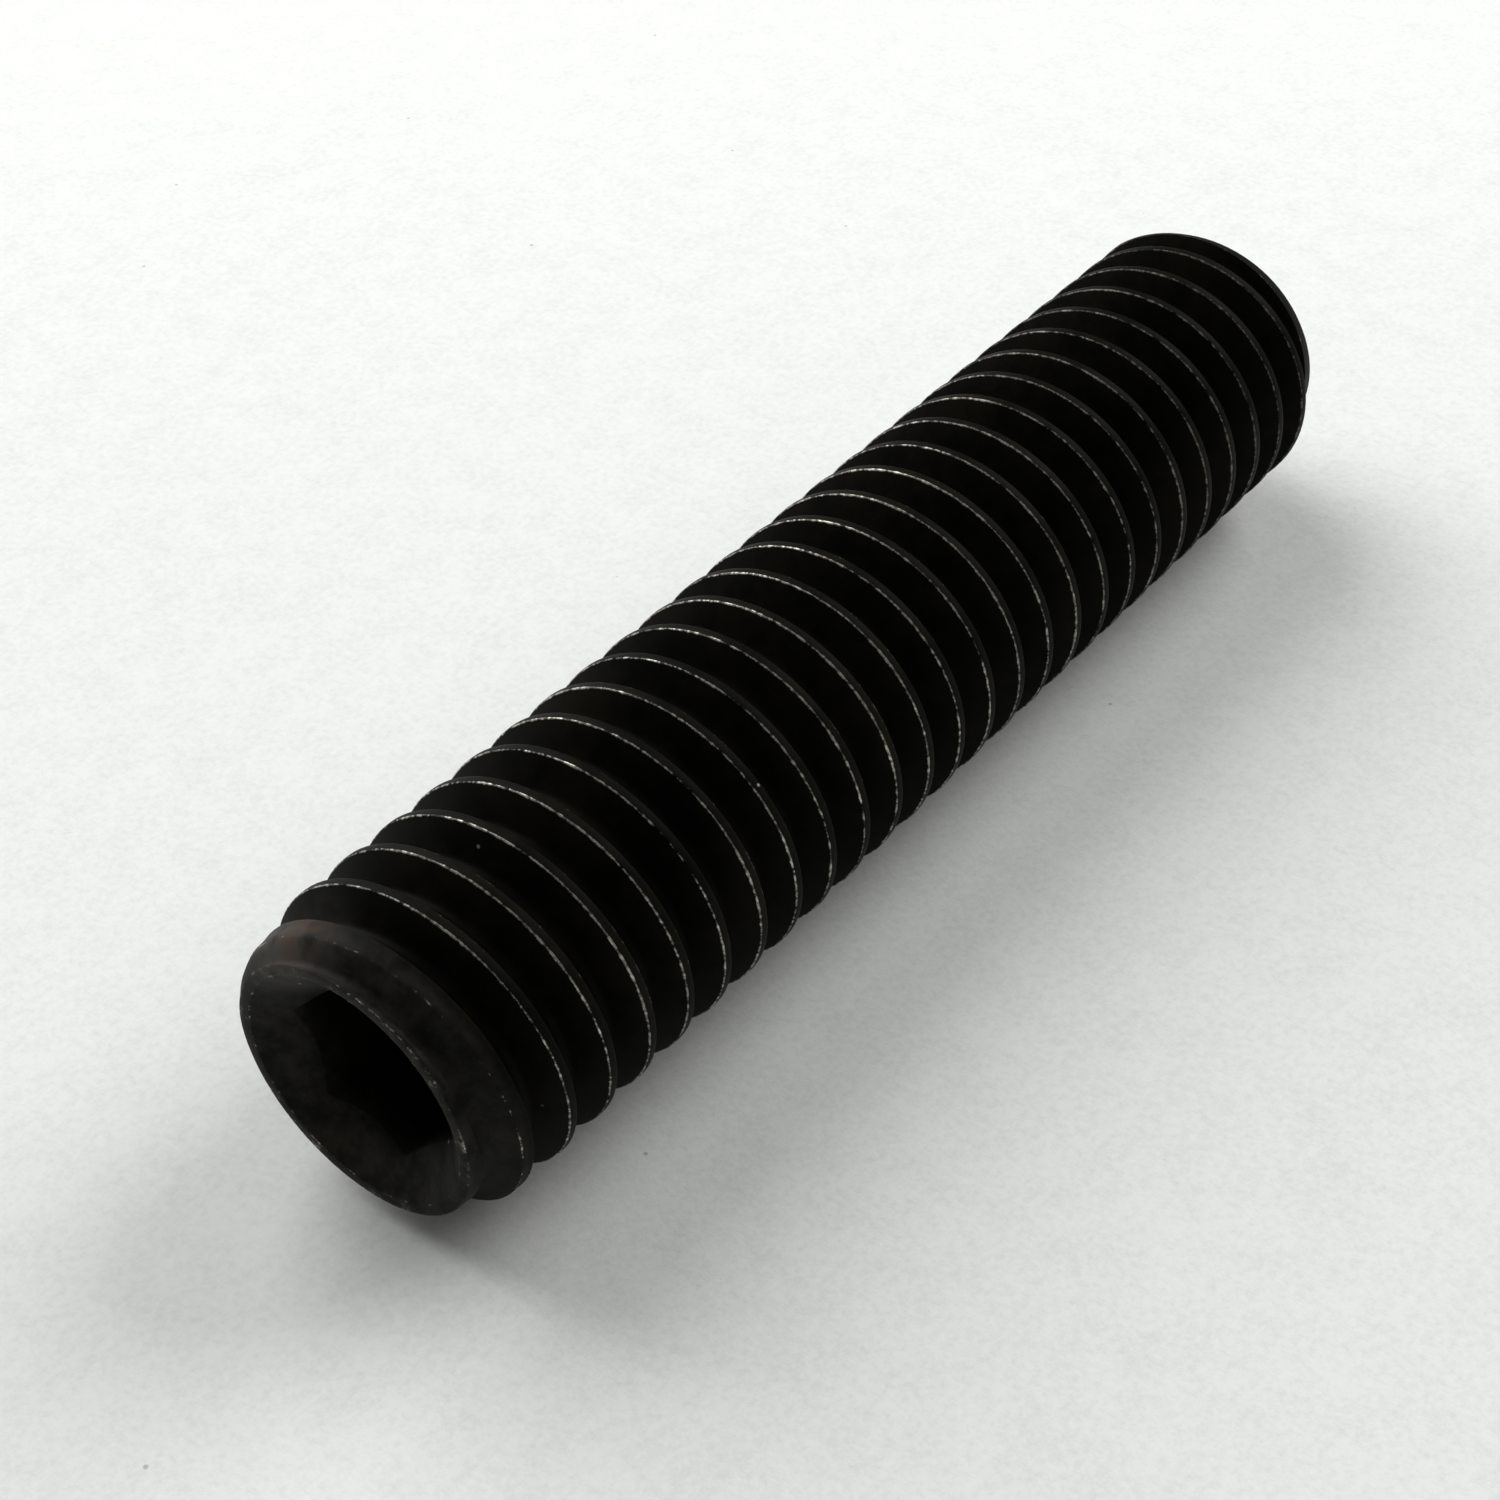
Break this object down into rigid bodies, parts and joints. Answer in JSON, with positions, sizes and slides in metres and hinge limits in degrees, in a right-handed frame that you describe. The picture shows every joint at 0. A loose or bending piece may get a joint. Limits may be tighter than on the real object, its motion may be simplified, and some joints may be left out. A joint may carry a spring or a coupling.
{
  "type": "threaded stud",
  "caption": "Headless fully threaded stud with a countersunk hexagon socket in one end and a flat chamfered point at the other.",
  "frame": {"origin": "centre of the flat point face, where the axis leaves it", "axes": "+Z along the stud's axis, from the point to the socket; +X through two corners of the hexagon socket"},
  "size_m": [0.0094, 0.0094, 0.0444],
  "materials": {
    "black_oxide_steel": "black oxide, lightly oiled, bare on the worn crests"
  },
  "bodies": {
    "root": {"stud": "black_oxide_steel"}
  },
  "joints": []
}
